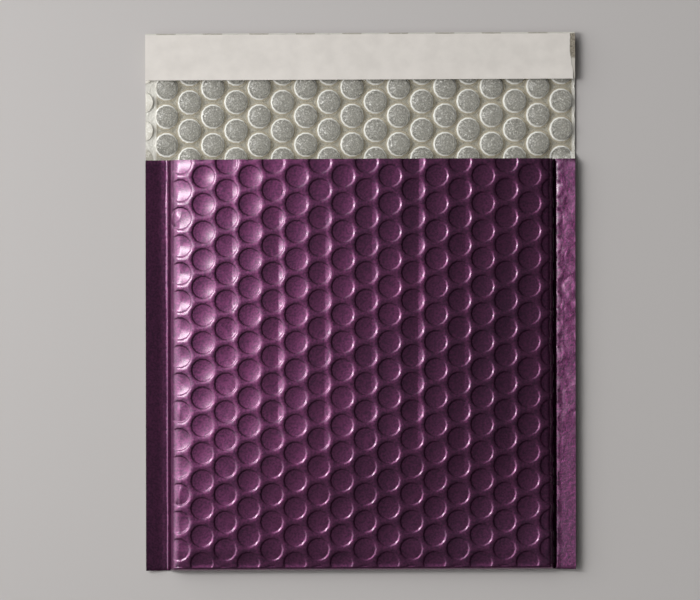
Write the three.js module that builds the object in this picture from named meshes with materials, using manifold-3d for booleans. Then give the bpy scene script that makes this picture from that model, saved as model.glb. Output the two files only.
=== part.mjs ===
// A padded envelope lying on its back with the flap open: one web of metallised film, lined with
// air-bubble film, folded at the bottom and heat-sealed along both sides.
// Millimetres, +Z up. The web's width runs along X, and Y runs from the bottom fold to the flap's end.
// The origin is on the surface that the envelope lies on, under the middle of its outline.

import * as THREE from "three";
import { mergeVertices } from "three/addons/utils/BufferGeometryUtils.js";
import Module from "manifold-3d";

// The cut web, folded.
const envelopeWidth = 180;
const pocketDepth = 172; // from the mouth to the bottom fold
const flapLength = 53; // from the mouth line to the flap's end

// The layers of the web.
const filmGauge = 0.12; // metallised outer film
const bondGap = 0.05; // laminating coat between film and lining
const bubbleHeight = 3; // bubble lining, its air bubbles included
const weldGauge = 0.3; // both linings melted together in a side seal

// How the empty pocket stands.
const sealWidth = 9; // each side seal
const wallRun = 3; // from a seal's inner edge to the full height of the padding
const foldHeight = 4; // height of the stack where the web is folded
const foldRun = 10; // from the fold to uncrushed padding
const pocketRise = 6; // free height in the middle of the pocket
const riseRun = 60; // from the fold to that full height
const mouthRun = 5; // from the mouth line to uncrushed padding on the flap's sides

// The closure on the flap.
const stripWidth = 19;
const stripInset = 0.6; // from the flap's end
const adhesiveGauge = 0.15;
const linerGauge = 0.1;
const linerShort = 2; // the liner stops this far before the web's right edge
const contactGap = 0.02; // between pieces that lie on each other

// Worked out from those.
const halfWidth = envelopeWidth / 2;
const padHalf = halfWidth - sealWidth;
const cavityHalf = padHalf - wallRun;
const flapEnd = (pocketDepth + flapLength) / 2;
const foldY = -flapEnd;
const mouthY = foldY + pocketDepth;
const skin = filmGauge + bondGap;
const paddingTop = skin + bubbleHeight; // height of the flap, and of the pocket's floor
const sealStack = 2 * skin + weldGauge;
const foldNose = foldHeight / 2;
const foldEnd = foldY + foldRun;
const pastEdge = 1; // how far a cutting solid runs past what it cuts

// Where the grid over the pocket has its lines.
const wallSteps = 4;
const padSteps = 5;
const noseSteps = 4;
const foldSteps = 3;
const riseSteps = 6;
const mouthSteps = 3;

const film = new THREE.MeshStandardMaterial({ color: 0x6e3a62, roughness: 0.35, metalness: 0.7 });
const bubbleFilm = new THREE.MeshStandardMaterial({ color: 0xb9b6ad, roughness: 0.3, metalness: 0 });
const hotMelt = new THREE.MeshStandardMaterial({ color: 0xa79f8f, roughness: 0.4, metalness: 0 });
const siliconePaper = new THREE.MeshStandardMaterial({ color: 0xd8d2cc, roughness: 0.6, metalness: 0 });

const wasm = await Module();
wasm.setup();

function smooth(share) {
  const s = THREE.MathUtils.clamp(share, 0, 1);
  return s * s * (3 - 2 * s);
}

// The values that end each of count equal steps on the way from one value to another.
function steps(from, to, count) {
  return Array.from({ length: count }, (_, i) => from + ((to - from) * (i + 1)) / count);
}

// Height of the free space between the two linings.
function freeHeight(x, y) {
  const across = 1 - (x / padHalf) ** 2;
  return pocketRise * Math.max(across, 0) * smooth((y - foldY) / riseRun);
}

// Height of the front panel's outer face.
function frontHeight(x, y) {
  const uncrushed = smooth((y - foldY - foldNose) / (foldRun - foldNose));
  const padding = THREE.MathUtils.lerp(foldHeight, 2 * paddingTop, uncrushed) + freeHeight(x, y);
  const wall = smooth((padHalf - Math.abs(x)) / wallRun);
  return THREE.MathUtils.lerp(sealStack, padding, wall);
}

// A step down of this height is what moves that face inwards by 1 along its normal.
function stepPerInset(x, y) {
  const nudge = 0.05;
  const alongX = (frontHeight(x + nudge, y) - frontHeight(x - nudge, y)) / (2 * nudge);
  const alongY = (frontHeight(x, y + nudge) - frontHeight(x, y - nudge)) / (2 * nudge);
  return Math.hypot(1, alongX, alongY);
}

// Lines across the web: its edge, a seal, the padding's side wall, then the padding, on both sides.
function linesAcross(edge) {
  const wall = steps(padHalf, cavityHalf, wallSteps);
  const pad = steps(cavityHalf, 0, padSteps);
  const right = [edge, padHalf, ...wall, ...pad];
  const left = right.slice(0, -1).map((x) => -x);
  return [...left, ...right.reverse()];
}

// Stations along the pocket. Each gives a point of the lower and the upper face at x, on a stack
// whose faces are moved inwards by inset: round the fold first, then flat below and puffed above.
function pocketStations(inset, end) {
  const round = (angle) => (x) => {
    const centre = frontHeight(x, foldY) / 2;
    const radius = centre - inset;
    const y = foldY + centre - radius * Math.cos(angle);
    return { y, low: centre - radius * Math.sin(angle), high: centre + radius * Math.sin(angle) };
  };
  const level = (y) => (x) => ({
    y,
    low: inset,
    high: frontHeight(x, y) - inset * stepPerInset(x, y),
  });
  return [
    ...[0, ...steps(0, Math.PI / 2, noseSteps)].map(round),
    ...steps(foldY + foldNose, foldEnd, foldSteps).map(level),
    ...steps(foldEnd, foldY + riseRun, riseSteps).map(level),
    level(end),
  ];
}

// A closed solid between the low and high faces that the stations give at each line.
function solidBetween(lines, stations) {
  const columns = lines.length - 1;
  const rows = stations.length - 1;
  const box = new THREE.BoxGeometry(1, 1, 1, columns, rows, 1);
  const points = box.getAttribute("position");
  for (let i = 0; i < points.count; i++) {
    const x = lines[Math.round((points.getX(i) + 0.5) * columns)];
    const { y, low, high } = stations[Math.round((points.getY(i) + 0.5) * rows)](x);
    points.setXYZ(i, x, y, points.getZ(i) < 0 ? low : high);
  }
  return solidFrom(box);
}

// Joins a geometry's shared vertices, drops the faces that this leaves without area, and closes it.
function solidFrom(geometry) {
  geometry.deleteAttribute("normal");
  geometry.deleteAttribute("uv");
  const merged = mergeVertices(geometry);
  const corners = merged.index.array;
  const faces = [];
  for (let i = 0; i < corners.length; i += 3) {
    const [a, b, c] = corners.slice(i, i + 3);
    if (a !== b && b !== c && c !== a) faces.push(a, b, c);
  }
  const vertProperties = new Float32Array(merged.getAttribute("position").array);
  const triVerts = new Uint32Array(faces);
  return new wasm.Manifold(new wasm.Mesh({ numProp: 3, vertProperties, triVerts }));
}

// A slab with straight sides from the corner (x0, y0, z0) to (x1, y1, z1).
function slab(x0, y0, z0, x1, y1, z1) {
  const box = new THREE.BoxGeometry(x1 - x0, y1 - y0, z1 - z0);
  return box.translate((x0 + x1) / 2, (y0 + y1) / 2, (z0 + z1) / 2);
}

function meshFrom(solid, material) {
  const { vertProperties, triVerts } = solid.getMesh();
  const geometry = new THREE.BufferGeometry();
  geometry.setAttribute("position", new THREE.BufferAttribute(vertProperties, 3));
  geometry.setIndex(new THREE.BufferAttribute(triVerts, 1));
  geometry.computeVertexNormals();
  return new THREE.Mesh(geometry, material);
}

// One web of film: the front panel from the mouth down, round the fold, and the back up to the
// flap's end.
function outerFilm() {
  const folded = solidBetween(linesAcross(halfWidth), pocketStations(0, mouthY));
  const insideStations = pocketStations(filmGauge, mouthY + pastEdge);
  const inside = solidBetween(linesAcross(halfWidth + pastEdge), insideStations);
  const flap = solidFrom(slab(-halfWidth, mouthY - pastEdge, 0, halfWidth, flapEnd, filmGauge));
  return meshFrom(folded.subtract(inside).add(flap), film);
}

// The free space of the pocket, from just above the fold out through the mouth.
function pocketSpace() {
  const lines = [-cavityHalf, ...steps(-cavityHalf, cavityHalf, 2 * padSteps)];
  const station = (y) => (x) => ({ y, low: paddingTop, high: frontHeight(x, y) - paddingTop });
  const rise = [foldEnd, ...steps(foldEnd, foldY + riseRun, riseSteps)];
  return solidBetween(lines, [...rise, mouthY + pastEdge].map(station));
}

// The flap's lining, which is crushed at both sides next to the mouth, where the side seals end.
function flapLining() {
  const height = (x, y) => {
    const inSeal = 1 - smooth((padHalf - Math.abs(x)) / wallRun);
    const crushed = inSeal * (1 - smooth((y - mouthY) / mouthRun));
    return THREE.MathUtils.lerp(paddingTop, sealStack - skin, crushed);
  };
  const station = (y) => (x) => ({ y, low: skin, high: height(x, y) });
  const mouth = [mouthY - pastEdge, mouthY, ...steps(mouthY, mouthY + mouthRun, mouthSteps)];
  return solidBetween(linesAcross(halfWidth), [...mouth, flapEnd].map(station));
}

// One web of air-bubble film inside the outer film, melted together along both side seals. Its
// bubbles are taken together, as an even layer of their full height.
function bubbleLining() {
  const filled = solidBetween(linesAcross(halfWidth), pocketStations(skin, mouthY));
  return meshFrom(filled.subtract(pocketSpace()).add(flapLining()), bubbleFilm);
}

const stripEnd = flapEnd - stripInset;
const stripStart = stripEnd - stripWidth;
const adhesiveBottom = paddingTop + contactGap;
const linerBottom = adhesiveBottom + adhesiveGauge + contactGap;

// The band of pressure-sensitive adhesive across the flap.
function adhesiveStrip() {
  const top = adhesiveBottom + adhesiveGauge;
  return new THREE.Mesh(slab(-halfWidth, stripStart, adhesiveBottom, halfWidth, stripEnd, top), hotMelt);
}

// The peel-off paper that covers the adhesive, a little short at its right end.
function releaseLiner() {
  const right = halfWidth - linerShort;
  const top = linerBottom + linerGauge;
  return new THREE.Mesh(slab(-halfWidth, stripStart, linerBottom, right, stripEnd, top), siliconePaper);
}

const envelope = new THREE.Group();
const pieces = {
  outer_film: outerFilm(),
  bubble_lining: bubbleLining(),
  adhesive_strip: adhesiveStrip(),
  release_liner: releaseLiner(),
};
for (const [name, piece] of Object.entries(pieces)) {
  piece.name = name;
  envelope.add(piece);
}

export default envelope;
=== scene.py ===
"""The looks of a padded envelope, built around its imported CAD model.

The envelope is one web of metallised film lined with air-bubble film. Both webs are modelled flat, as
they leave the roll, with u across and v along the web from the front panel's mouth edge, round the
bottom fold, to the flap's end, and z as the depth below the outer face. They are then folded into the
envelope's form. Lengths are in millimetres until a mesh is finished.
"""

from __future__ import annotations

import logging
import math
from dataclasses import dataclass, field, replace
from enum import Enum
from typing import Callable

import bmesh
import bpy
from bmesh.types import BMesh, BMFace, BMVert
from bpy.types import ID, Material, Node, NodeSocket, NodeTree, Object
from mathutils import Matrix, Vector, noise

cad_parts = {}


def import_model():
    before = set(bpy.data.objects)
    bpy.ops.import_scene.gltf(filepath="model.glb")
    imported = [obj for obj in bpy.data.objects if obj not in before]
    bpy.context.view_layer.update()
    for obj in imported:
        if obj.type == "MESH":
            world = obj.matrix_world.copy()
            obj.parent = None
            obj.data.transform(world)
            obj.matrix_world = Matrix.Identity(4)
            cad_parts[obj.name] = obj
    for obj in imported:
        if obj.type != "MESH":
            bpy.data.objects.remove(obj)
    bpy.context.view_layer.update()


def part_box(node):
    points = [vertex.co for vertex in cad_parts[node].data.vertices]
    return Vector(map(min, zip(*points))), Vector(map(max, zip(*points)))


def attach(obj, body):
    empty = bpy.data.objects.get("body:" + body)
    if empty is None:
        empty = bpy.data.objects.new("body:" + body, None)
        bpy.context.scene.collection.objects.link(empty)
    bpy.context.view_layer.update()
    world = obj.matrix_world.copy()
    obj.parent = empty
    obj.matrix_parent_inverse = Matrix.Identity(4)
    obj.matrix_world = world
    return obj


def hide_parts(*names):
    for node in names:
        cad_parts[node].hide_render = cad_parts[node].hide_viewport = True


Section = tuple[tuple[float, float], ...]

log = logging.getLogger("padded_envelope")

MM = 0.001
ROOT = "root"
REACH = "bubble_reach"
SHARP_ANGLE = math.radians(55)
TOUCH = 1e-4
COLORS = {"data_type": "RGBA"}


def smooth(share: float) -> float:
    """Eases a share from 0 to 1, held at both ends."""
    s = min(max(share, 0.0), 1.0)
    return s * s * (3.0 - 2.0 * s)


def lerp(start: float, end: float, share: float) -> float:
    """Goes from start to end as share goes from 0 to 1."""
    return start + (end - start) * share


def linear(hex_color: str) -> tuple[float, float, float, float]:
    """Turns an sRGB hex colour into linear red, green, blue and an alpha of 1.

    Args:
        hex_color: The colour as six hex digits after a hash sign.

    Returns:
        The linear colour.
    """
    channels = (int(hex_color[i:i + 2], 16) / 255 for i in (1, 3, 5))
    r, g, b = (c / 12.92 if c <= 0.04045 else ((c + 0.055) / 1.055) ** 2.4 for c in channels)
    return r, g, b, 1.0


def per_metre(feature_mm: float) -> float:
    """Gives the texture scale, in metres, whose features are that many millimetres."""
    return 1.0 / (feature_mm * MM)


def add_node(
    tree: NodeTree,
    kind: str,
    settings: dict[str, object] | None = None,
    inputs: dict[str | int, object] | None = None,
) -> Node:
    """Adds a node with its settings, input values and links.

    Args:
        tree: The node tree that gets the node.
        kind: The node's type after ShaderNode, such as Bump.
        settings: The node's own properties by name.
        inputs: Each input's value, or the output socket that it is linked to.

    Returns:
        The new node.
    """
    node = tree.nodes.new("ShaderNode" + kind)
    for name, value in (settings or {}).items():
        setattr(node, name, value)
    for name, value in (inputs or {}).items():
        if isinstance(value, NodeSocket):
            tree.links.new(value, node.inputs[name])
        else:
            node.inputs[name].default_value = value
    return node


def between(start: float, end: float) -> dict[str, float]:
    """Gives both ends of a span, by the names that they have as inputs."""
    return {"From Min": start, "From Max": end}


def new_material(name: str) -> tuple[Material, NodeTree, NodeSocket]:
    """Makes an empty material.

    Args:
        name: The material's name.

    Returns:
        The material, its node tree and the Object coordinates.
    """
    material = bpy.data.materials.new(name)
    material.use_nodes = True
    tree = material.node_tree
    tree.nodes.clear()
    return material, tree, add_node(tree, "TexCoord").outputs["Object"]


# Finishes


@dataclass(frozen=True)
class Wrinkles:
    """Wrinkles too fine for the mesh, over one part of the web.

    Attributes:
        size: How wide one wrinkle is, in millimetres.
        depth: How deep it is, in millimetres.
        stretch: How the pattern is squeezed along X, Y and Z; a smaller number makes it longer.
        start: Where on X the wrinkles start, in millimetres, if not everywhere.
        full: Where on X they reach their full depth, in millimetres.
        detail: How many finer layers lie on them.
        distortion: How far they are twisted.
    """

    size: float
    depth: float
    stretch: tuple[float, float, float] = (1.0, 1.0, 1.0)
    start: float | None = None
    full: float | None = None
    detail: float = 3.0
    distortion: float = 0.0

    def height(self, tree: NodeTree, place: NodeSocket) -> NodeSocket:
        """Adds the wrinkles' nodes.

        Args:
            tree: The material's node tree.
            place: The Object coordinates.

        Returns:
            The height over the mesh, in metres.
        """
        squeezed = add_node(tree, "Mapping", inputs={"Vector": place, "Scale": self.stretch})
        pattern = add_node(tree, "TexNoise", inputs={
            "Vector": squeezed.outputs["Vector"], "Scale": per_metre(self.size),
            "Detail": self.detail, "Distortion": self.distortion})
        deep: object = self.depth * MM
        if self.start is not None and self.full is not None:
            across = add_node(tree, "SeparateXYZ", inputs={0: place})
            deep = add_node(tree, "MapRange", inputs={
                "Value": across.outputs["X"], "To Max": self.depth * MM,
                **between(self.start * MM, self.full * MM)}).outputs[0]
        scaled = add_node(tree, "Math", {"operation": "MULTIPLY"}, {
            0: pattern.outputs["Fac"], 1: deep})
        return scaled.outputs[0]


def bump_from(
    tree: NodeTree, place: NodeSocket, wrinkles: tuple[Wrinkles, ...]
) -> NodeSocket:
    """Adds the bump of several kinds of wrinkles.

    Args:
        tree: The material's node tree.
        place: The Object coordinates.
        wrinkles: The kinds of wrinkles.

    Returns:
        The bent normal.
    """
    total = wrinkles[0].height(tree, place)
    for kind in wrinkles[1:]:
        more = kind.height(tree, place)
        total = add_node(tree, "Math", inputs={0: total, 1: more}).outputs[0]
    bump = add_node(tree, "Bump", inputs={"Strength": 1.0, "Distance": 1.0, "Height": total})
    return bump.outputs["Normal"]


@dataclass(frozen=True)
class PlumFilm:
    """Plum-lacquered vacuum-metallised polyester film, laminated to the bubble film while hot.

    The lacquer over the metal gives deep, dark flats and pale crisp glints, and the hot laminating
    leaves an orange peel. Its grain is really finer, and is drawn 0.9 mm wide so that it shows.

    Attributes:
        cloud_share: The broad clouds' share of the lacquer's tone; the rest is the grain's.
        tone_span: The noise levels between which the lacquer goes from pale to deep.
        wrinkles: The orange peel, the right seal's and right wall's wrinkles, and the left seal's.
    """

    name: str = "plum_metallised_polyester"
    lacquer: str = "#773264"
    deep_lacquer: str = "#55224d"
    tone_size: float = 0.9
    cloud_size: float = 38.0
    cloud_share: float = 0.2
    tone_span: tuple[float, float] = (0.39, 0.61)
    roughness: float = 0.44
    coat_roughness: float = 0.22
    coat_ior: float = 1.65
    wrinkles: tuple[Wrinkles, ...] = (
        Wrinkles(size=0.9, depth=0.06, detail=4.0),
        Wrinkles(
            size=2.2, depth=0.2, stretch=(1.2, 0.9, 1.0), start=81.2, full=82.0,
            detail=4.0, distortion=0.6),
        Wrinkles(size=2.0, depth=0.16, stretch=(0.35, 1.0, 1.0), start=73.0, full=79.0),
        Wrinkles(size=2.0, depth=0.05, stretch=(0.2, 1.0, 1.0), start=-82.0, full=-84.0),
    )

    def build(self) -> Material:
        """Builds the material and returns it."""
        material, tree, place = new_material(self.name)
        tone = add_node(tree, "TexNoise", inputs={
            "Vector": place, "Scale": per_metre(self.tone_size), "Detail": 4.0})
        cloud = add_node(tree, "TexNoise", inputs={
            "Vector": place, "Scale": per_metre(self.cloud_size), "Detail": 3.0})
        both = add_node(tree, "Mix", inputs={
            0: self.cloud_share, 2: tone.outputs["Fac"], 3: cloud.outputs["Fac"]})
        share = add_node(tree, "MapRange", inputs={
            "Value": both.outputs[0], **between(*self.tone_span)})
        color = add_node(tree, "Mix", COLORS, {
            0: share.outputs[0], 6: linear(self.lacquer), 7: linear(self.deep_lacquer)})
        shader = add_node(tree, "BsdfPrincipled", inputs={
            "Base Color": color.outputs[2], "Metallic": 1.0, "Roughness": self.roughness,
            "Coat Weight": 1.0, "Coat Roughness": self.coat_roughness, "Coat IOR": self.coat_ior,
            "Normal": bump_from(tree, place, self.wrinkles)})
        add_node(tree, "OutputMaterial", inputs={"Surface": shader.outputs[0]})
        return material


@dataclass(frozen=True)
class SilverFilm:
    """The film's bare inner face: aluminium vapour on polyester, dulled by the laminating coat.

    It shows through the clear bubble film as a soft grey with cloudy patches; the crumples' hollows are
    painted darker, as painted shade.
    """

    name: str = "silver_metallised_polyester"
    bright: str = "#d3d4cd"
    dull: str = "#b7b7ae"
    hollow_shade: str = "#807e78"
    hollow_shade_span: tuple[float, float] = (0.5, 0.3)
    cloud_size: float = 9.0
    crumple_size: float = 1.1
    crumple_depth: float = 0.12
    metallic: float = 0.2
    roughness: float = 0.42

    def build(self) -> Material:
        """Builds the material and returns it."""
        material, tree, place = new_material(self.name)
        cloud = add_node(tree, "TexNoise", inputs={
            "Vector": place, "Scale": per_metre(self.cloud_size), "Detail": 4.0})
        color = add_node(tree, "Mix", COLORS, {
            0: cloud.outputs["Fac"], 6: linear(self.bright), 7: linear(self.dull)})
        crumple = add_node(tree, "TexNoise", inputs={
            "Vector": place, "Scale": per_metre(self.crumple_size), "Detail": 5.0, "Distortion": 0.6})
        bump = add_node(tree, "Bump", inputs={
            "Strength": 1.0, "Distance": self.crumple_depth * MM, "Height": crumple.outputs["Fac"]})
        # Painted shade: darker where the crumple's bump is low, in its hollows.
        painted_hollow_shade = add_node(tree, "MapRange", inputs={
            "Value": crumple.outputs["Fac"], **between(*self.hollow_shade_span)})
        shaded_color = add_node(tree, "Mix", COLORS, {
            0: painted_hollow_shade.outputs[0], 6: color.outputs[2], 7: linear(self.hollow_shade)})
        shader = add_node(tree, "BsdfPrincipled", inputs={
            "Base Color": shaded_color.outputs[2], "Metallic": self.metallic, "Roughness": self.roughness,
            "Normal": bump.outputs["Normal"]})
        add_node(tree, "OutputMaterial", inputs={"Surface": shader.outputs[0]})
        return material


@dataclass(frozen=True)
class ClearBubbleFilm:
    """Clear polyethylene air-bubble film, vacuum-formed.

    The film is stretched thin over each bubble, and stays thick at its foot and between the bubbles.
    That gives a bright milky ring round a nearly clear, finely crumpled disc, in a faintly tan web;
    the ring is painted white all round, partly for that thick film and partly as painted sheen of
    its steep walls seen edge-on.
    The crumples are really finer, and are drawn 0.65 to 0.8 mm wide so that they show.

    Attributes:
        ring_from: The distances from a bubble's centre between which its ring starts.
        ring_to: The distances between which its ring ends.
        corner_from: The distances between which the web thins out, in the middle of three bubbles.
        crumple_span: The noise levels between which a disc goes from clear to its crumples' cover.
        glint_span: The noise levels between which the crumples turn white, as painted glints.
        crushed: For each pressed edge its axis and where on it the film starts and ends to be crushed.
    """

    name: str = "clear_polyethylene_bubble_film"
    # Milky white of the thick film, also used for the ring's painted sheen and the crumples' painted
    # glints.
    milk_sheen_and_glint: str = "#f7f6f0"
    web: str = "#d2c8b0"
    disc: str = "#c6c3b9"
    disc_alpha: float = 0.3
    ring_alpha: float = 0.92
    web_alpha: float = 0.5
    corner_alpha: float = 0.12
    crumple_alpha: float = 0.9
    crushed_alpha: float = 0.8
    crushed_tint: float = 0.25
    speck_size: float = 0.65
    ring_from: tuple[float, float] = (4.22, 4.36)
    ring_to: tuple[float, float] = (4.88, 5.08)
    corner_from: tuple[float, float] = (5.25, 6.2)
    crumple_span: tuple[float, float] = (0.45, 0.75)
    glint_span: tuple[float, float] = (0.58, 0.74)
    crushed: tuple[tuple[str, float, float], ...] = (
        ("X", -84.9, -85.9), ("X", 88.4, 88.9), ("Y", 110.0, 111.0))
    roughness: float = 0.17
    ior: float = 1.7
    wrinkles: tuple[Wrinkles, ...] = (
        Wrinkles(size=0.8, depth=0.24, detail=4.0, distortion=0.3),
        Wrinkles(size=3.0, depth=0.3),
    )

    def build(self) -> Material:
        """Builds the material and returns it."""
        material, tree, place = new_material(self.name)
        reach = add_node(tree, "Attribute", {"attribute_name": REACH}).outputs["Fac"]
        past_disc, past_ring = (
            add_node(tree, "MapRange", inputs={"Value": reach, **between(*span)}).outputs[0]
            for span in (self.ring_from, self.ring_to))
        parts = add_node(tree, "SeparateXYZ", inputs={0: place})
        speck = add_node(tree, "TexNoise", inputs={
            "Vector": place, "Scale": per_metre(self.speck_size), "Detail": 3.0})
        crumpled = add_node(tree, "MapRange", inputs={
            "Value": speck.outputs["Fac"], **between(*self.crumple_span),
            "To Min": self.disc_alpha, "To Max": self.crumple_alpha})
        cover = add_node(tree, "Mix", inputs={
            0: past_disc, 2: crumpled.outputs[0], 3: self.ring_alpha}).outputs[0]
        thin = add_node(tree, "MapRange", inputs={
            "Value": reach, **between(*self.corner_from),
            "To Min": self.web_alpha, "To Max": self.corner_alpha}).outputs[0]
        cover = add_node(tree, "Mix", inputs={0: past_ring, 2: cover, 3: thin}).outputs[0]
        tint = past_ring
        for axis, start, end in self.crushed:
            share = add_node(tree, "MapRange", inputs={
                "Value": parts.outputs[axis], **between(start * MM, end * MM)}).outputs[0]
            cover = add_node(tree, "Mix", inputs={
                0: share, 2: cover, 3: self.crushed_alpha}).outputs[0]
            tint = add_node(tree, "Mix", inputs={
                0: share, 2: tint, 3: self.crushed_tint}).outputs[0]
        # Painted glints: the highest crumple specks turn white.
        painted_glints = add_node(tree, "MapRange", inputs={
            "Value": speck.outputs["Fac"], **between(*self.glint_span)})
        crumple = add_node(tree, "Mix", COLORS, {
            0: painted_glints.outputs[0], 6: linear(self.disc), 7: linear(self.milk_sheen_and_glint)})
        # The ring, whitened all round: partly the thick film at the bubble's foot, partly painted sheen
        # of its steep walls.
        ring = add_node(tree, "Mix", COLORS, {
            0: past_disc, 6: crumple.outputs[2], 7: linear(self.milk_sheen_and_glint)})
        color = add_node(tree, "Mix", COLORS, {
            0: tint, 6: ring.outputs[2], 7: linear(self.web)})
        shader = add_node(tree, "BsdfPrincipled", inputs={
            "Base Color": color.outputs[2], "Roughness": self.roughness, "IOR": self.ior, "Alpha": cover,
            "Normal": bump_from(tree, place, self.wrinkles)})
        add_node(tree, "OutputMaterial", inputs={"Surface": shader.outputs[0]})
        return material


@dataclass(frozen=True)
class HotMelt:
    """Pressure-sensitive hot-melt adhesive, slot-coated.

    It is tacky and greyish, with darker specks, and turns pale lower down.

    Attributes:
        dark_speck_span: The noise levels between which it turns from grey to darker specks.
        pale_from: Where it turns pale, on Y.
        pale_run: How far that takes.
        pale_run: How far that takes.
    """

    name: str = "hot_melt_adhesive"
    base_grey: str = "#a79f8f"
    dark_speck: str = "#6f685c"
    pale_grey: str = "#cdc8be"
    dark_speck_span: tuple[float, float] = (0.45, 0.62)
    pale_from: float = 102.5
    pale_run: float = 1.0
    speck_size: float = 0.7
    speck_depth: float = 0.06
    speck_strength: float = 0.8
    roughness: float = 0.35

    def build(self) -> Material:
        """Builds the material and returns it."""
        material, tree, place = new_material(self.name)
        speck = add_node(tree, "TexNoise", inputs={
            "Vector": place, "Scale": per_metre(self.speck_size), "Detail": 5.0})
        share = add_node(tree, "MapRange", inputs={
            "Value": speck.outputs["Fac"], **between(*self.dark_speck_span)})
        color = add_node(tree, "Mix", COLORS, {
            0: share.outputs[0], 6: linear(self.base_grey), 7: linear(self.dark_speck)})
        parts = add_node(tree, "SeparateXYZ", inputs={0: place})
        # Paler towards the bottom, on Y; the darker specks show above.
        paler_below = add_node(tree, "MapRange", inputs={
            "Value": parts.outputs["Y"],
            **between(self.pale_from * MM, (self.pale_from - self.pale_run) * MM)})
        color = add_node(tree, "Mix", COLORS, {
            0: paler_below.outputs[0], 6: color.outputs[2], 7: linear(self.pale_grey)})
        bump = add_node(tree, "Bump", inputs={
            "Strength": self.speck_strength, "Distance": self.speck_depth * MM,
            "Height": speck.outputs["Fac"]})
        shader = add_node(tree, "BsdfPrincipled", inputs={
            "Base Color": color.outputs[2], "Roughness": self.roughness,
            "Normal": bump.outputs["Normal"]})
        add_node(tree, "OutputMaterial", inputs={"Surface": shader.outputs[0]})
        return material


@dataclass(frozen=True)
class SiliconePaper:
    """White siliconised kraft release paper, calendered: off-white and matt, with a faint cloudy look.

    Its fibres are really finer, and are drawn 0.5 mm wide so that they show.
    """

    name: str = "siliconised_release_paper"
    sheet: str = "#ece6df"
    cloud: str = "#e4ded7"
    cloud_size: float = 6.0
    cloud_span: tuple[float, float] = (0.35, 0.65)
    fibre_size: float = 0.5
    fibre_depth: float = 0.02
    fibre_strength: float = 0.3
    roughness: float = 0.55

    def build(self) -> Material:
        """Builds the material and returns it."""
        material, tree, place = new_material(self.name)
        cloud = add_node(tree, "TexNoise", inputs={
            "Vector": place, "Scale": per_metre(self.cloud_size), "Detail": 5.0})
        share = add_node(tree, "MapRange", inputs={
            "Value": cloud.outputs["Fac"], **between(*self.cloud_span)})
        color = add_node(tree, "Mix", COLORS, {
            0: share.outputs[0], 6: linear(self.sheet), 7: linear(self.cloud)})
        fibre = add_node(tree, "TexNoise", inputs={
            "Vector": place, "Scale": per_metre(self.fibre_size), "Detail": 3.0})
        bump = add_node(tree, "Bump", inputs={
            "Strength": self.fibre_strength, "Distance": self.fibre_depth * MM,
            "Height": fibre.outputs["Fac"]})
        shader = add_node(tree, "BsdfPrincipled", inputs={
            "Base Color": color.outputs[2], "Roughness": self.roughness,
            "Normal": bump.outputs["Normal"]})
        add_node(tree, "OutputMaterial", inputs={"Surface": shader.outputs[0]})
        return material


# The form that the web is folded into


@dataclass(frozen=True)
class Stack:
    """Depths below the outer face at which each layer's faces lie.

    Attributes:
        film_gauge: The film's inner face.
        film_back: The same at the bottom of a dish.
        lining_back: The lining's laminated face.
        lining_web: Its other face, between the bubbles.
        bubble_top: The bubbles' tops.
        sealed: Where the face itself and these five end up, crushed in a side seal.
    """

    film_gauge: float = 0.12
    film_back: float = 0.66
    lining_back: float = 0.75
    lining_web: float = 0.90
    bubble_top: float = 3.15
    sealed: tuple[float, ...] = (0.0, 0.12, 0.13, 0.22, 0.28, 0.31)

    def crushed(self, depth: float) -> float:
        """Gives where a depth ends up in a side seal.

        Args:
            depth: How deep a point lies in the flat web.

        Returns:
            The depth in the seal.
        """
        knots = (
            0.0, self.film_gauge, self.film_back, self.lining_back, self.lining_web, self.bubble_top)
        if depth <= 0.0:
            return depth
        for i in range(1, len(knots)):
            if depth <= knots[i] or i == len(knots) - 1:
                share = (depth - knots[i - 1]) / (knots[i] - knots[i - 1])
                return lerp(self.sealed[i - 1], self.sealed[i], share)
        return depth


@dataclass(frozen=True)
class Crease:
    """A dent along one bubble column of the front panel: sharp valley, short right flank.

    Attributes:
        column: The bubble column that it runs down.
        low: Where it ends at the bottom, on Y.
        high: Where it ends at the top, on Y.
        depth: How deep it is.
        offset: How far right of the column's middle its valley lies.
        left_run: How far its left flank runs, hollow towards the valley.
        right_run: How far its right flank runs.
        between: Its share of the depth between two bubbles.
        fade: How far it takes to reach its depth, along it.
        sharpness: How hollow its flanks are; 1 is straight.
    """

    column: int
    low: float
    high: float
    depth: float
    offset: float = 2.3
    left_run: float = 6.0
    right_run: float = 2.7
    between: float = 0.35
    fade: float = 14.0
    sharpness: float = 1.5

    def dent(self, distance: float, y: float, step: float) -> float:
        """Gives the dent's depth.

        Args:
            distance: How far the place lies to the right of the crease line.
            y: Where it lies along the crease.
            step: Where it lies between two bubbles of the column, from 0 at one to 1 at the next.

        Returns:
            The depth.
        """
        beat = lerp(self.between, 1.0, 0.5 + 0.5 * math.cos(math.tau * step))
        along = smooth((y - self.low) / self.fade) * smooth((self.high - y) / self.fade)
        run = self.right_run if distance > 0.0 else self.left_run
        return self.depth * beat * along * max(0.0, 1.0 - abs(distance) / run) ** self.sharpness


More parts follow.
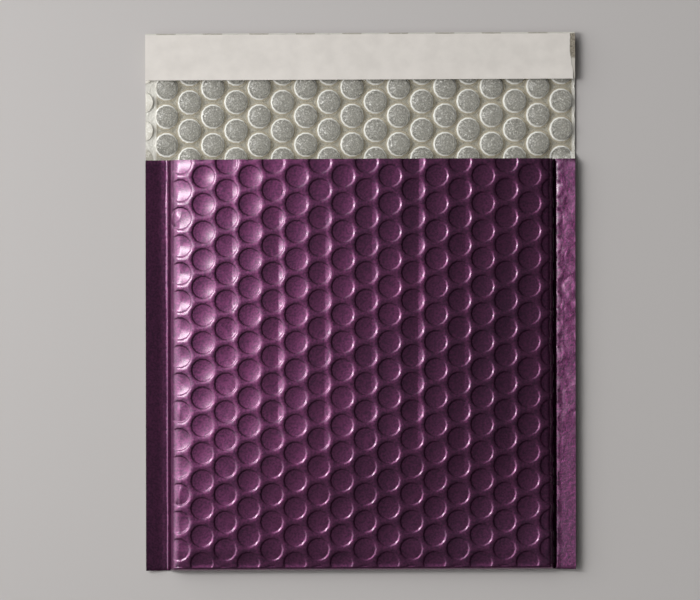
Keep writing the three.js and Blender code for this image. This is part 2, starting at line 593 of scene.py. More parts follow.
@dataclass(frozen=True)
class Form:
    """The envelope's form, which says where each point of the flat web ends up.

    Attributes:
        half_width: Half the envelope's width.
        fold_y: The bottom fold, on Y.
        flap_end: The flap's end, on Y.
        stack: How deep each layer lies in the web.
    """

    half_width: float
    fold_y: float
    flap_end: float
    stack: Stack = field(default_factory=Stack)
    # Both webs' height in the seals and in the padding, and how far the empty pocket swells.
    pocket_depth: float = 172.0
    seal_width: float = 9.0
    seal_stack: float = 0.64
    pad_stack: float = 6.34
    pocket_rise: float = 5.6
    rise_run: float = 60.0
    # The bottom fold: its nose is crushed over nose_core of its arc, and nose_crush beyond.
    fold_height: float = 5.4
    fold_run: float = 9.0
    nose: float = 1.8
    nose_arc: float = 7.3
    nose_core: float = 0.36
    nose_crush: float = 1.0
    # The side walls: where on X they start and how soon they ease. Nicks make the right one ragged.
    left_wall: float = -80.1
    left_wall_ease: float = 1.3
    right_wall: float = 80.9
    right_wall_ease: float = 0.5
    ragged: float = 0.5
    ragged_size: float = 3.2
    lining_gap: float = 0.25
    back_margin: float = 2.6
    # The left seal's pressed ridge, and the foot that rises to it, lower towards the bottom.
    ridge: float = -80.85
    ridge_width: float = 0.24
    ridge_height: float = 0.42
    ridge_ease: float = 0.3
    ridge_sway: float = 0.15
    sway_size: float = 14.0
    foot_reach: float = 3.8
    foot_run: float = 3.4
    foot_share: float = 0.6
    foot_low: float = 0.2
    foot_fade: float = 30.0
    # The welt along both seals' inner edges: where on X it rises and falls.
    welt_height: float = 0.22
    welt_rise: tuple[float, float] = (79.4, 80.4)
    welt_fall: tuple[float, float] = (82.0, 83.5)
    # How the side seals curl up, the right one past a step, until they fade at the mouth.
    seal_curl: float = 2.0
    curl_start: float = 0.6
    right_crease: float = 80.9
    right_step: float = 1.4
    step_run: float = 1.2
    right_curl: float = 1.6
    mouth_lead: float = 2.0
    mouth_fade: float = 5.0
    # The right seal's crinkles, which fade towards the bottom.
    crinkle_height: float = 0.18
    crinkle_from: float = 0.5
    crinkle_low: float = 0.25
    crinkle_fade: tuple[float, float] = (-75.0, -30.0)
    crinkle_scale: tuple[float, float] = (0.42, 0.28)
    # The flap's cut end, pressed together and bent up, and how far the whole web leans askew.
    end_run: float = 3.4
    end_flat: float = 0.8
    end_rise: float = 2.5
    skew: float = 0.003

    @classmethod
    def from_frame(cls) -> Form:
        """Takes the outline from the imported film."""
        low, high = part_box("outer_film")
        return cls(half_width=high.x / MM, fold_y=low.y / MM, flap_end=high.y / MM)

    @property
    def mouth_y(self) -> float:
        """The pocket's mouth, on Y."""
        return self.fold_y + self.pocket_depth

    @property
    def front_run(self) -> float:
        """Where on the web the fold's nose starts."""
        return self.pocket_depth - self.nose

    @property
    def back_start(self) -> float:
        """Where on the web the nose ends and the back panel starts."""
        return self.front_run + self.nose_arc

    @property
    def mouth_line(self) -> float:
        """Where on the web the back panel ends and the flap starts."""
        return self.back_start + self.mouth_y - self.fold_y - self.nose

    @property
    def web_length(self) -> float:
        """How long the flat web is."""
        return self.back_start + self.flap_end - self.fold_y - self.nose

    def for_lining(self) -> Form:
        """Gives the lining's form, which stays inside the film's walls and has none of its edging."""
        right_gap = self.lining_gap + self.ragged / 2
        return replace(
            self, ridge_height=0.0, welt_height=0.0, crinkle_height=0.0,
            left_wall=self.left_wall + self.lining_gap, right_wall=self.right_wall - right_gap)

    def wall(self, x: float, y: float) -> float:
        """Gives the padding's share of its full height, from the seals up the side walls.

        Args:
            x: Across the envelope.
            y: Along it.

        Returns:
            The share, from 0 to 1.
        """
        if x < 0.0:
            return 1.0 - math.exp(-max(0.0, x - self.left_wall) / self.left_wall_ease)
        nick = self.ragged * max(0.0, noise.noise(Vector((9.1, y / self.ragged_size, 4.4))))
        return 1.0 - math.exp(-max(0.0, self.right_wall - nick - x) / self.right_wall_ease)

    def ridge_at(self, x: float, y: float) -> float:
        """Gives the height of the left seal's pressed ridge and of the film that rises to it.

        Args:
            x: Across the envelope.
            y: Along it.

        Returns:
            The height.
        """
        if x > self.left_wall:
            return 0.0
        sway = self.ridge_sway * noise.noise(Vector((0.0, y / self.sway_size, 1.7)))
        crest = math.exp(-((x - self.ridge - sway) / self.ridge_width) ** 2)
        foot = smooth((x - self.ridge + self.foot_reach) / self.foot_run)
        foot *= self.foot_share * lerp(self.foot_low, 1.0, smooth(y / self.foot_fade))
        return self.ridge_height * (crest + foot) * smooth((self.left_wall - x) / self.ridge_ease)

    def welt(self, x: float) -> float:
        """Gives how far the film stands off the lining along the inner edge of a side seal.

        Args:
            x: Across the envelope.

        Returns:
            The height.
        """
        rise, fall = (
            smooth((abs(x) - start) / (end - start)) for start, end in (self.welt_rise, self.welt_fall))
        return self.welt_height * rise * (1.0 - fall)

    def edging(self, x: float, y: float) -> float:
        """Gives the height that the ridge, the welt and the crinkles add to the front panel."""
        return self.ridge_at(x, y) + self.welt(x) + self.crinkle(x, y)

    def lift(self, x: float, y: float) -> float:
        """Gives how far a side seal curls up off the surface.

        Args:
            x: Across the envelope.
            y: Along it.

        Returns:
            The height.
        """
        inner = self.right_crease if x > 0.0 else self.ridge
        share = (abs(x) - abs(inner)) / (self.half_width - abs(inner))
        if share <= 0.0:
            return 0.0
        fade = 1.0 - smooth((y - self.mouth_y + self.mouth_lead) / self.mouth_fade)
        if x > 0.0:
            step = self.right_step * smooth((x - inner) / self.step_run)
            return (step + self.right_curl * share) * fade
        return self.seal_curl * share * min(1.0, share + self.curl_start) * fade

    def crinkle(self, x: float, y: float) -> float:
        """Gives the height of the right seal's crinkles, strong at the top and faint at the bottom.

        Args:
            x: Across the envelope.
            y: Along it.

        Returns:
            The height.
        """
        share = smooth((x - self.right_wall - self.crinkle_from) / self.step_run)
        if share == 0.0:
            return 0.0
        low, high = self.crinkle_fade
        strong = lerp(self.crinkle_low, 1.0, smooth((y - low) / (high - low)))
        place = Vector((x * self.crinkle_scale[0], y * self.crinkle_scale[1], 3.1))
        return share * strong * self.crinkle_height * noise.turbulence(place, 3, False)

    def pad_height(self, x: float, y: float) -> float:
        """Gives the padding's height at a point, as if it had no side walls.

        Args:
            x: Across the envelope.
            y: Along it.

        Returns:
            The height.
        """
        uncrushed = smooth((y - self.fold_y - self.nose) / (self.fold_run - self.nose))
        across = max(0.0, 1.0 - (x / (self.half_width - self.seal_width)) ** 2)
        free = self.pocket_rise * across * smooth((y - self.fold_y) / self.rise_run)
        return lerp(self.fold_height, self.pad_stack, uncrushed) + free

    def front_height(self, x: float, y: float) -> float:
        """Gives the height of the front panel over the back panel."""
        return lerp(self.seal_stack, self.pad_height(x, y), self.wall(x, y))

    def fullness(self, u: float, v: float) -> float:
        """Gives how little the web is crushed: 0 in the seals and the fold, 1 in padding and flap.

        Args:
            u: Across the web.
            v: Along the web.

        Returns:
            The share.
        """
        y = self.mouth_y - v if v < self.front_run else self.fold_y + self.nose + v - self.back_start
        outer = u + math.copysign(self.back_margin * smooth((v - self.front_run) / self.nose_arc), u)
        height = self.front_height(outer, max(y, self.fold_y + self.nose))
        share = min(1.0, (height - self.seal_stack) / (self.pad_stack - self.seal_stack))
        from_fold = abs(v - self.front_run - self.nose_arc / 2) - self.nose_arc * self.nose_core
        share *= smooth(from_fold / self.nose_crush)
        if v < self.back_start:
            return share
        share = lerp(share, 1.0, smooth((v - self.mouth_line) / self.mouth_fade))
        return share * (1.0 - self.end_share(v))

    def end_share(self, v: float) -> float:
        """Gives how far a point lies into the flap's cut end, where both webs are pressed together."""
        return smooth((v - self.web_length + self.end_run) / (self.end_run - self.end_flat))

    def face(self, u: float, v: float, dent: Callable[[float, float], float]) -> Vector:
        """Gives the place of a point of the outer face.

        Args:
            u: Across the web.
            v: Along the web.
            dent: The depth of the front panel's creases at a place on the web.

        Returns:
            The point, in millimetres.
        """
        if v < self.front_run:
            y = self.mouth_y - v
            height = self.front_height(u, y) + self.edging(u, y)
            height += self.lift(u, y) - dent(u, v) * self.wall(u, y)
        elif v < self.back_start:
            turn = math.pi * (v - self.front_run) / self.nose_arc
            y = self.fold_y + self.nose
            stack = self.front_height(u, y) + self.edging(u, y) * math.cos(turn / 2)
            y = self.fold_y + self.nose * (1.0 - math.sin(turn))
            height = stack / 2 * (1.0 + math.cos(turn)) + self.lift(u, y)
        else:
            y = self.fold_y + self.nose + v - self.back_start
            height = self.lift(u, y) + self.end_rise * self.end_share(v)
        return Vector((u, y + self.skew * u, height))

    def frame(self, u: float, v: float, dent: Callable[[float, float], float]) -> tuple[Vector, Vector]:
        """Gives the place of a point of the outer face, and the direction into the web.

        Args:
            u: Across the web.
            v: Along the web.
            dent: The depth of the front panel's creases at a place on the web.

        Returns:
            The point, in millimetres, and the direction.
        """
        step = 0.05
        across = self.face(u + step, v, dent) - self.face(u - step, v, dent)
        along = self.face(u, v + step, dent) - self.face(u, v - step, dent)
        return self.face(u, v, dent), across.cross(along).normalized()


# The web's bubbles


class Detail(Enum):
    """How finely a bubble is modelled: the number of segments round it."""

    FINE = 14
    COARSE = 12


@dataclass(frozen=True)
class Lattice:
    """The bubbles' places on the web, in columns along it.

    Attributes:
        pitch_across: Between two columns.
        pitch_along: Between two bubbles of a column.
        first_column: Where column 0 is, on u.
        first_row: Where row 0 of an even column is, on v.
        corners: The sides of one bubble's share of the web, each with boundary_cuts cuts.
        front_drift: How far the columns drift across by the front panel's end.
        back_drift: How far they drift on by the back panel's end.
        stretch: How far the web is stretched from stretch_from on.
    """

    pitch_across: float = 9.735
    pitch_along: float = 11.55
    first_column: float = -75.2
    first_row: float = 1.35
    corners: int = 6
    boundary_cuts: int = 2
    front_drift: float = -1.1
    back_drift: float = -5.0
    stretch_from: float = 171.0
    stretch: float = 1.0352

    def centre(self, column: int, row: int) -> tuple[float, float]:
        """Gives a bubble's centre on the unstretched web."""
        u = self.first_column + self.pitch_across * column
        return u, self.first_row + self.pitch_along * (row + self.half_row(column))

    def half_row(self, column: int) -> float:
        """Gives how far a column is shifted along the web, in rows."""
        return 0.5 if column % 2 else 0.0

    def bubble_at(self, u: float, v: float) -> tuple[float, int, int, float, float]:
        """Finds the bubble nearest to a laid point.

        Args:
            u: Across the web.
            v: Along the web.

        Returns:
            The distance from the bubble's centre, its column and row, and the distance across and along.
        """
        plain_u = self.unlaid_u(u, v)
        plain_v = v if v < self.stretch_from else lerp(self.stretch_from, v, 1 / self.stretch)
        between = (plain_u - self.first_column) / self.pitch_across
        found = []
        for column in (math.floor(between), math.ceil(between)):
            row = round((plain_v - self.first_row) / self.pitch_along - self.half_row(column))
            centre = self.centre(column, row)
            across, along = plain_u - centre[0], plain_v - centre[1]
            found.append((math.hypot(across, along), column, row, across, along))
        return min(found)

    def laid(self, u: float, v: float) -> tuple[float, float]:
        """Gives where a point of the unstretched web lies once the web is laminated and cut."""
        along = v if v < self.stretch_from else lerp(self.stretch_from, v, self.stretch)
        return u + self.drift(along), along

    def unlaid_u(self, u: float, v: float) -> float:
        """Gives back the unstretched u of a laid point."""
        return u - self.drift(v)

    def drift(self, v: float) -> float:
        """Gives how far the columns have drifted across at a place along the laid web.

        Args:
            v: Along the web.

        Returns:
            How far they have drifted, on u.
        """
        front = min(max(v / self.stretch_from, 0.0), 1.0)
        back = min(max(v / self.stretch_from - 1.0, 0.0), 1.0)
        return self.front_drift * front + self.back_drift * back


@dataclass(frozen=True)
class Cell:
    """One bubble with its share of the film between the bubbles, out to a six-sided edge.

    Attributes:
        profile: The section from the centre outwards, as radius and depth.
        edge_depth: The depth along the six-sided edge.
        detail: How finely it is modelled.
    """

    profile: Section
    edge_depth: float
    detail: Detail

    def build(self, lattice: Lattice) -> BMesh:
        """Builds the cell round the origin.

        Args:
            lattice: The lattice that the six-sided edge fits.

        Returns:
            The cell's mesh.
        """
        cell = bmesh.new()
        points = [cell.verts.new((radius, 0.0, depth)) for radius, depth in self.profile]
        edges = [cell.edges.new(pair) for pair in zip(points, points[1:])]
        bmesh.ops.spin(
            cell, geom=points + edges, axis=(0, 0, 1), angle=math.tau, steps=self.detail.value,
            use_merge=True)
        bmesh.ops.remove_doubles(cell, verts=cell.verts, dist=TOUCH)
        rim = [edge for edge in cell.edges if edge.is_boundary]
        hexagon = bmesh.ops.create_circle(cell, segments=lattice.corners, radius=1.0)["verts"]
        corner = lattice.pitch_across / 1.5
        half_row = lattice.pitch_along / math.sqrt(3.0)
        shape = Matrix.Diagonal((corner, half_row, 1.0, 1.0)) @ Matrix.Rotation(math.pi / 2, 4, "Z")
        place = Matrix.Translation((0, 0, self.edge_depth))
        bmesh.ops.transform(cell, matrix=place @ shape, verts=hexagon)
        border = list({edge for vert in hexagon for edge in vert.link_edges})
        bmesh.ops.subdivide_edges(cell, edges=border, cuts=lattice.boundary_cuts)
        outline = [edge for edge in cell.edges if edge.is_wire]
        bmesh.ops.bridge_loops(cell, edges=rim + outline)
        return cell


def all_parts(mesh: BMesh) -> list:
    """Lists a mesh's vertices, edges and faces."""
    return mesh.verts[:] + mesh.edges[:] + mesh.faces[:]


def repeat(mesh: BMesh, parts: list, step: tuple[float, float]) -> list:
    """Copies parts of a mesh, a step away on the flat web.

    Args:
        mesh: The mesh.
        parts: The vertices, edges and faces to copy.
        step: How far away the copy is, on u and v.

    Returns:
        The copied parts.
    """
    copied = bmesh.ops.duplicate(mesh, geom=parts)["geom"]
    moved = [part for part in copied if isinstance(part, BMVert)]
    bmesh.ops.translate(mesh, verts=moved, vec=(*step, 0))
    return copied


def lay_cells(lattice: Lattice, cell: Cell, columns: range, rows: range) -> BMesh:
    """Repeats a cell over a stretch of the lattice.

    Args:
        lattice: The lattice.
        cell: The cell.
        columns: The columns that it fills.
        rows: The rows that it fills.

    Returns:
        The cells, not yet joined.
    """
    sheet = cell.build(lattice)
    parts = all_parts(sheet)
    for _ in rows[1:]:
        parts = repeat(sheet, parts, (0, lattice.pitch_along))
    parts = all_parts(sheet)
    bmesh.ops.translate(sheet, verts=sheet.verts, vec=(*lattice.centre(columns[0], rows[0]), 0))
    for column in columns[1:]:
        rise = lattice.centre(column, rows[0])[1] - lattice.centre(column - 1, rows[0])[1]
        parts = repeat(sheet, parts, (lattice.pitch_across, rise))
    return sheet


def merge_into(target: BMesh, part: BMesh) -> None:
    """Adds a mesh to another one, and frees it.

    Args:
        target: The mesh that it is added to.
        part: The mesh that is added.
    """
    holder = bpy.data.meshes.new("part")
    part.to_mesh(holder)
    part.free()
    target.from_mesh(holder)
    bpy.data.meshes.remove(holder)


@dataclass
class Web:
    """A flat web of bubbles, which both layers of the envelope start from.

    Attributes:
        form: The form that the web is folded into.
        lattice: The bubbles' places.
        creases: The dents of the front panel.
    """

    form: Form
    lattice: Lattice
    creases: tuple[Crease, ...]
    weld: float = 0.01
    # Extra edge loops: beside each crease's valley, up the side walls (step_lines of them over the
    # whole web), round the fold's nose, as shares of it, and before the flap's end.
    valley_lines: tuple[float, ...] = (-0.12, 0.12, 1.3)
    wall_lines: tuple[float, ...] = (
        -85.5, -83.2, -82.0, -81.3, -81.05, -80.85, -80.65, -80.4, -80.1, -79.8, -79.4, -78.9, -78.3,
        -77.7, -77.0, -76.3, -75.4, 77.6, 78.3, 79.0, 79.8, 80.5, 80.9, 81.3, 81.7, 82.3, 84.5, 87.0)
    step_lines: tuple[float, ...] = (80.9, 81.7)
    nose_lines: tuple[float, ...] = (-0.12, 0.0, 0.08, 0.16, 0.27, 0.5, 0.73, 0.84, 0.92, 1.0, 1.12)
    end_lines: tuple[float, ...] = (3.4, 2.5, 1.7, 0.8)

    def dent(self, u: float, v: float) -> float:
        """Gives the creases' depth at a place on the web.

        Args:
            u: Across the web.
            v: Along the web.

        Returns:
            The depth.
        """
        y = self.form.mouth_y - v
        plain_u = self.lattice.unlaid_u(u, v)
        total = 0.0
        for crease in self.creases:
            line = self.lattice.first_column + self.lattice.pitch_across * crease.column + crease.offset
            distance = plain_u - line
            if -crease.left_run < distance < crease.right_run:
                step = (v - self.lattice.first_row) / self.lattice.pitch_along
                step -= self.lattice.half_row(crease.column)
                total = max(total, crease.dent(distance, y, step))
        return total

    def sheet(self, zones: list[tuple[Cell, range]], columns: range, creased: bool) -> BMesh:
        """Builds the bubbled sheet, laid and cut to the web's outline.

        Args:
            zones: Each stretch's cell and rows, in order along the web.
            columns: The columns across the web.
            creased: Whether the front panel gets extra edges for its creases.

        Returns:
            The sheet's mesh.
        """
        sheet = bmesh.new()
        for cell, rows in zones:
            merge_into(sheet, lay_cells(self.lattice, cell, columns, rows))
        bmesh.ops.remove_doubles(sheet, verts=sheet.verts, dist=self.weld)
        front_end = self.form.back_start
        for crease in self.creases if creased else ():
            centre = self.lattice.first_column + self.lattice.pitch_across * crease.column
            for line in self.valley_lines:
                self.cut(sheet, 0, centre + crease.offset + line, front_end)
        for vert in sheet.verts:
            vert.co.x, vert.co.y = self.lattice.laid(vert.co.x, vert.co.y)
        for line in self.wall_lines:
            self.cut(sheet, 0, line, math.inf if line in self.step_lines else front_end)
        for share in self.nose_lines:
            self.cut(sheet, 1, lerp(self.form.front_run, front_end, share))
        for before_end in self.end_lines:
            self.cut(sheet, 1, self.form.web_length - before_end)
        half = self.form.half_width
        for point, away in (
            ((half, 0, 0), (1, 0, 0)),
            ((-half, 0, 0), (-1, 0, 0)),
            ((0, 0, 0), (0, -1, 0)),
            ((0, self.form.web_length, 0), (0, 1, 0)),
        ):
            bmesh.ops.bisect_plane(
                sheet, geom=all_parts(sheet), dist=TOUCH, plane_co=point, plane_no=away,
                clear_outer=True)
        return sheet

    def cut(self, sheet: BMesh, axis: int, place: float, end: float = math.inf) -> None:
        """Adds an edge loop.

        Args:
            sheet: The sheet.
            axis: The axis that the loop lies across: 0 for u, 1 for v.
            place: Where it lies on that axis.
            end: Where on v it ends.
        """
        near = []
        for face in sheet.faces:
            places = [vert.co[axis] for vert in face.verts]
            if min(places) < place < max(places) and face.verts[0].co.y < end:
                near.append(face)
        parts = {part for face in near for part in (face, *face.verts, *face.edges)}
        across = Vector((1 - axis, axis, 0))
        bmesh.ops.bisect_plane(
            sheet, geom=list(parts), dist=TOUCH, plane_co=across * place, plane_no=across)

    def thicken(self, sheet: BMesh, back: Callable[[float], float]) -> None:
        """Gives a bubbled sheet its other face, joined to it along the cut edges.

        Both faces get the same triangles, so that they never cross where the thin web bends.

        Args:
            sheet: The bubbled sheet.
            back: Gives the other face's depth from the bubbled face's.
        """
        bmesh.ops.triangulate(sheet, faces=sheet.faces)
        made = bmesh.ops.extrude_face_region(sheet, geom=sheet.faces[:], use_keep_orig=True)["geom"]
        for part in made:
            if isinstance(part, BMVert):
                part.co.z = back(part.co.z)
            elif isinstance(part, BMFace):
                part.material_index = 1

    def folded(self, sheet: BMesh) -> None:
        """Folds the flat web into the envelope's form, in metres.

        Args:
            sheet: The flat web.
        """
        frames: dict[tuple[float, float], tuple[Vector, Vector, float]] = {}
        for vert in sheet.verts:
            u, v, depth = vert.co
            if (u, v) not in frames:
                frames[u, v] = (*self.form.frame(u, v, self.dent), self.form.fullness(u, v))
            point, inward, full = frames[u, v]
            vert.co = (point + inward * lerp(self.form.stack.crushed(depth), depth, full)) * MM


def placed(name: str, data: ID) -> Object:
    """Puts an object with that mesh, light or camera in the scene, at the origin.

    Args:
        name: The object's name.
        data: The mesh, light or camera.

    Returns:
        The object.
    """
    made = bpy.data.objects.new(name, data)
    bpy.context.scene.collection.objects.link(made)
    return made


def new_object(name: str, mesh: BMesh, materials: list[Material]) -> Object:
    """Turns a mesh into an object.

    Args:
        name: The object's name.
        mesh: The mesh, in metres, which is freed.
        materials: Its materials, by the faces' material index.

    Returns:
        The object.
    """
    data = bpy.data.meshes.new(name)
    mesh.to_mesh(data)
    mesh.free()
    for material in materials:
        data.materials.append(material)
    return placed(name, data)


def finished(name: str, mesh: BMesh, materials: list[Material], node: str) -> Object:
    """Makes a piece with smooth faces that point outwards, in place of its CAD node, and reports it.

    Args:
        name: The piece's name.
        mesh: Its mesh, in metres, which is freed.
        materials: Its materials, by the faces' material index.
        node: The CAD node that it replaces.

    Returns:
        The piece.
    """
    bmesh.ops.recalc_face_normals(mesh, faces=mesh.faces)
    for face in mesh.faces:
        face.smooth = True
    for edge in mesh.edges:
        edge.smooth = edge.calc_face_angle(math.pi) < SHARP_ANGLE
    piece = new_object(name, mesh, materials)
    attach(piece, ROOT)
    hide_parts(node)
    log.info("%s: %d faces", piece.name, len(piece.data.polygons))
    return piece


@dataclass
class OuterFilm:
    """The metallised film: front panel, bottom fold, back panel and flap in one web."""

    web: Web
    columns: range = range(-2, 19)
    front_rows: range = range(-1, 16)
    back_rows: range = range(16, 36)
    # The dishes drawn down into the bubbles, as radius and depth, and the depth between them.
    dish: Section = (
        (0.0, 0.50), (4.25, 0.36), (4.52, 0.31), (4.87, 0.04), (5.12, -0.02))
    coarse_dish: Section = ((0.0, 0.40), (4.4, 0.33), (4.9, 0.0))
    hump: float = -0.07
    # The flap dishes' share of the depth, how uneven they are, and how their bottoms lean.
    flap_dish: float = 0.3
    uneven: float = 0.2
    tilt: float = 0.02
    side_lean: float = 0.07
    # The dented bubbles, by column and row: what lies deeper than dented_from comes up to dented_to.
    dented: tuple[tuple[int, int], ...] = ((0, 2), (0, 9), (0, 12))
    dented_from: float = 0.37
    dented_to: float = -0.05
    # The web's fullness where the dishes start, beside the seals, and what they need to be full.
    full_from: float = 0.35
    full_run: float = 0.6

    def emboss(self, sheet: BMesh) -> None:
        """Varies the dishes and fades them out towards the side seals.

        Args:
            sheet: The flat film.
        """
        lattice, form = self.web.lattice, self.web.form
        for vert in sheet.verts:
            u, v, depth = vert.co
            _, column, row, across, along = lattice.bubble_at(u, v)
            chance = noise.cell_vector(Vector((column + 0.5, row + 0.5, 7.5)))
            if depth < 0.0:
                depth *= 1.0 - smooth((v - form.front_run) / form.nose_arc)
            if (column, row) in self.dented and depth > self.dented_from:
                depth = self.dented_to
            if depth > 0.0:
                share = depth / self.dish[0][1]
                lean = across * (chance.y - 0.5) + along * (chance.z - 0.5)
                depth = depth * (1.0 + self.uneven * (chance.x - 0.5)) + self.tilt * lean * share
                if column == 0:
                    depth += self.side_lean * across * share * smooth((row - 1) / 4)
            depth *= lerp(1.0, self.flap_dish, smooth((v - form.mouth_line) / form.mouth_fade))
            vert.co.z = depth * smooth((form.fullness(u, v) - self.full_from) / self.full_run)

    def build(self, outside: Material, inside: Material) -> Object:
        """Builds the film.

        Args:
            outside: The finish of the lacquered face.
            inside: The finish of the bare metallised face.

        Returns:
            The film.
        """
        fine = Cell(self.dish, self.hump, Detail.FINE)
        coarse = Cell(self.coarse_dish, self.hump, Detail.COARSE)
        zones = [(fine, self.front_rows), (coarse, self.back_rows)]
        sheet = self.web.sheet(zones, self.columns, creased=True)
        self.emboss(sheet)
        gauge = self.web.form.stack.film_gauge
        self.web.thicken(sheet, lambda depth: depth + gauge)
        self.web.folded(sheet)
        return finished("metallised_film", sheet, [outside, inside], "outer_film")


@dataclass
class BubbleLining:
    """The clear bubble film, its bubbles facing into the pocket and up on the open flap."""

    web: Web
    columns: range = range(-2, 19)
    pocket_rows: range = range(-1, 29)
    flap_rows: range = range(29, 36)
    # A bubble's section, as radius and depth.
    dome: Section = (
        (0.0, 3.15), (3.8, 3.08), (4.25, 2.75), (4.5, 0.98), (4.95, 0.90))
    coarse_dome: Section = ((0.0, 3.1), (3.3, 2.85), (4.3, 2.0), (4.75, 0.92))
    # How uneven the bubbles are, and how they taper off towards the cut sides and the seals.
    uneven: float = 0.1
    left_taper: float = 5.0
    right_taper: float = 1.2
    full_from: float = 0.3
    full_run: float = 0.6

    def shape(self, sheet: BMesh) -> None:
        """Marks each point's distance from its bubble, and crushes the bubbles at welds and sides.

        Args:
            sheet: The flat lining.
        """
        form = self.web.form
        reach = sheet.verts.layers.float.new(REACH)
        flat = form.stack.lining_web
        for vert in sheet.verts:
            u, v, depth = vert.co
            vert[reach], column, row, _, _ = self.web.lattice.bubble_at(u, v)
            chance = noise.cell_vector(Vector((column + 0.5, row + 0.5, 3.5)))
            height = (depth - flat) * lerp(1.0 - self.uneven, 1.0, chance.x)
            taper = self.right_taper if u > 0.0 else self.left_taper
            height *= smooth((form.half_width - abs(u)) / taper)
            vert.co.z = flat + height * smooth((form.fullness(u, v) - self.full_from) / self.full_run)

    def build(self, finish: Material) -> Object:
        """Builds the lining.

        Args:
            finish: The clear film's finish.

        Returns:
            The lining.
        """
        stack = self.web.form.stack
        fine = Cell(self.dome, stack.lining_web, Detail.FINE)
        coarse = Cell(self.coarse_dome, stack.lining_web, Detail.COARSE)
        zones = [(coarse, self.pocket_rows), (fine, self.flap_rows)]
        sheet = self.web.sheet(zones, self.columns, creased=False)
        self.shape(sheet)
        self.web.thicken(sheet, lambda depth: stack.lining_back)
        self.web.folded(sheet)
        for face in sheet.faces:
            face.material_index = 0
        return finished("bubble_film_lining", sheet, [finish], "bubble_lining")


@dataclass
class Closure:
    """The flap's adhesive strip and the peel-off paper that covers it."""

    form: Form
    strip_step: float = 1.5
    # The bands' cockles, and how the paper's lower edge curls up.
    cockle: float = 0.12
    cockle_size: float = 26.0
    cockle_seed: float = 40.0
    curl: float = 0.35
    curl_run: float = 4.0
    # The paper's torn right end: slanted over a share of it, nicked, and set back.
    cut_slant: float = 1.4
    cut_share: float = 0.6
    cut_nicks: float = 0.45
    nick_size: float = 1.7
    cut_back: float = 0.135

    def band(self, node: str, curl: float) -> BMesh:
        """Builds a thin band in the place of its CAD node.

        Args:
            node: The CAD node whose box the band fills.
            curl: How far the lower edge stands up; a band that curls also has a torn right end.

        Returns:
            The band's mesh, in metres.
        """
        low, high = (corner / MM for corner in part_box(node))
        size = high - low
        band = bmesh.new()
        place = Matrix.Translation(((low.x + high.x) / 2, (low.y + high.y) / 2, low.z))
        bmesh.ops.create_grid(
            band, x_segments=round(size.x / self.strip_step), y_segments=round(size.y / self.strip_step),
            size=0.5, matrix=place @ Matrix.Diagonal((size.x, size.y, 1, 1)))
        for vert in band.verts:
            wave = noise.noise(Vector((vert.co.x, vert.co.y, self.cockle_seed)) / self.cockle_size)
            lower = 1.0 - smooth((vert.co.y - low.y) / self.curl_run)
            vert.co.z += self.cockle * (wave + 1.0) + curl * lower
            if curl > 0.0 and vert.co.x > high.x - self.strip_step / 2:
                nick = noise.noise(Vector((vert.co.y / self.nick_size, 3.3, 0.7)))
                below = 1.0 - smooth((vert.co.y - low.y) / (self.cut_share * size.y))
                vert.co.x += self.cut_slant * below + self.cut_nicks * nick - self.cut_back
            vert.co.y += self.form.skew * vert.co.x
        bmesh.ops.solidify(band, geom=all_parts(band), thickness=-size.z)
        bmesh.ops.scale(band, vec=(MM, MM, MM), verts=band.verts)
        return band

    def build(self, adhesive: Material, paper: Material) -> list[Object]:
        """Builds the strip and its paper.

        Args:
            adhesive: The adhesive's finish.
            paper: The release paper's finish.

        Returns:
            Both pieces.
        """
        return [
            finished("adhesive_band", self.band("adhesive_strip", 0.0), [adhesive],
                     "adhesive_strip"),
            finished("release_paper_band", self.band("release_liner", self.curl), [paper],
                     "release_liner"),
        ]


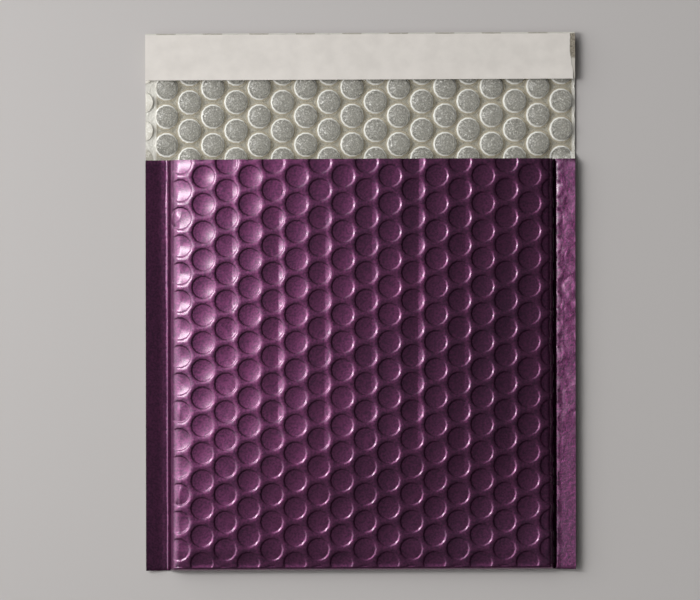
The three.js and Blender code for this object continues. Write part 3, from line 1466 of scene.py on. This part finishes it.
@dataclass(frozen=True)
class Studio:
    """A pale floor, one near softbox at the upper left, a soft surround and a camera looking down."""

    floor_color: str = "#cbc7c5"
    floor_roughness: float = 0.9
    floor_size: float = 4.0
    floor_drop: float = 0.02
    sensor_width: float = 36.0
    camera_height: float = 1.8
    view_width: float = 0.2937
    view_centre: tuple[float, float] = (-0.0044, 0.0006)
    roll: float = math.radians(-0.1)
    softbox_place: tuple[float, float, float] = (-0.42, 0.12, 0.50)
    softbox_size: tuple[float, float] = (0.07, 0.30)
    softbox_power: float = 1.55
    # The surround is brightest towards sky_toward. As a direction turns to it, the surround goes
    # from sky_away to sky_dim over dim_span, and gets sky_bright brighter over bright_span.
    sky_toward: tuple[float, float, float] = (-0.843, 0.326, 0.423)
    sky_away: float = 0.03
    sky_dim: float = 0.215
    sky_bright: float = 3.1
    dim_span: tuple[float, float] = (-0.25, 0.4)
    bright_span: tuple[float, float] = (0.6, 1.0)

    def build(self) -> None:
        """Builds the floor, the lights and the camera."""
        self.floor()
        self.softbox()
        self.surround()
        self.camera()

    def floor(self) -> None:
        """Lays the floor just under the envelope."""
        sheet = bmesh.new()
        bmesh.ops.create_grid(sheet, x_segments=1, y_segments=1, size=self.floor_size / 2)
        bmesh.ops.translate(sheet, verts=sheet.verts, vec=(0, 0, -self.floor_drop * MM))
        material, tree, _ = new_material("matt_pale_board")
        shader = add_node(tree, "BsdfPrincipled", inputs={
            "Base Color": linear(self.floor_color), "Roughness": self.floor_roughness})
        add_node(tree, "OutputMaterial", inputs={"Surface": shader.outputs[0]})
        floor = new_object("floor", sheet, [material])

    def softbox(self) -> None:
        """Hangs the softbox, turned towards the middle of the envelope."""
        light = bpy.data.lights.new("softbox", "AREA")
        light.shape = "RECTANGLE"
        light.size, light.size_y = self.softbox_size
        light.energy = self.softbox_power
        lamp = placed("softbox", light)
        lamp.location = self.softbox_place
        lamp.rotation_mode = "QUATERNION"
        lamp.rotation_quaternion = (-Vector(self.softbox_place)).to_track_quat("-Z", "Y")

    def surround(self) -> None:
        """Sets the surround: bright low down at the left, dim overhead and dark at the right."""
        world = bpy.data.worlds.new("surround")
        bpy.context.scene.world = world
        world.use_nodes = True
        tree = world.node_tree
        tree.nodes.clear()
        place = add_node(tree, "TexCoord")
        side = add_node(tree, "VectorMath", {"operation": "DOT_PRODUCT"}, {
            0: place.outputs["Generated"], 1: self.sky_toward})
        overhead = add_node(tree, "MapRange", inputs={
            "Value": side.outputs["Value"], **between(*self.dim_span),
            "To Min": self.sky_away, "To Max": self.sky_dim})
        low_side = add_node(tree, "MapRange", inputs={
            "Value": side.outputs["Value"], **between(*self.bright_span), "To Max": self.sky_bright})
        level = add_node(tree, "Math", inputs={0: overhead.outputs[0], 1: low_side.outputs[0]})
        sky = add_node(tree, "Background", inputs={"Strength": level.outputs[0]})
        add_node(tree, "OutputWorld", inputs={"Surface": sky.outputs[0]})

    def camera(self) -> None:
        """Hangs the camera straight over the envelope."""
        data = bpy.data.cameras.new("camera")
        data.sensor_width = self.sensor_width
        data.lens = data.sensor_width * self.camera_height / self.view_width
        camera = placed("camera", data)
        camera.location = (*self.view_centre, self.camera_height)
        camera.rotation_euler = (0.0, 0.0, self.roll)
        bpy.context.scene.camera = camera
        bpy.context.scene.view_settings.view_transform = "Standard"


CREASES = (
    Crease(column=1, low=-140.0, high=-48.0, depth=0.14, offset=5.6, left_run=2.0, right_run=5.0),
    Crease(column=2, low=-30.0, high=64.0, depth=0.2),
    Crease(column=4, low=-62.0, high=44.0, depth=0.36),
    Crease(column=6, low=-75.0, high=45.0, depth=0.3),
    Crease(column=8, low=-60.0, high=60.0, depth=0.24),
    Crease(column=10, low=-66.0, high=72.0, depth=0.44),
    Crease(column=12, low=-80.0, high=66.0, depth=0.26),
    Crease(column=14, low=-80.0, high=66.0, depth=0.22),
)


def main() -> None:
    """Builds the envelope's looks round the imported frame, then the studio."""
    logging.basicConfig(level=logging.INFO, format="%(name)s %(message)s")
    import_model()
    form = Form.from_frame()
    lattice = Lattice()
    OuterFilm(Web(form, lattice, CREASES)).build(PlumFilm().build(), SilverFilm().build())
    BubbleLining(Web(form.for_lining(), lattice, CREASES)).build(ClearBubbleFilm().build())
    Closure(form).build(HotMelt().build(), SiliconePaper().build())
    Studio().build()


if __name__ == "__main__":
    main()
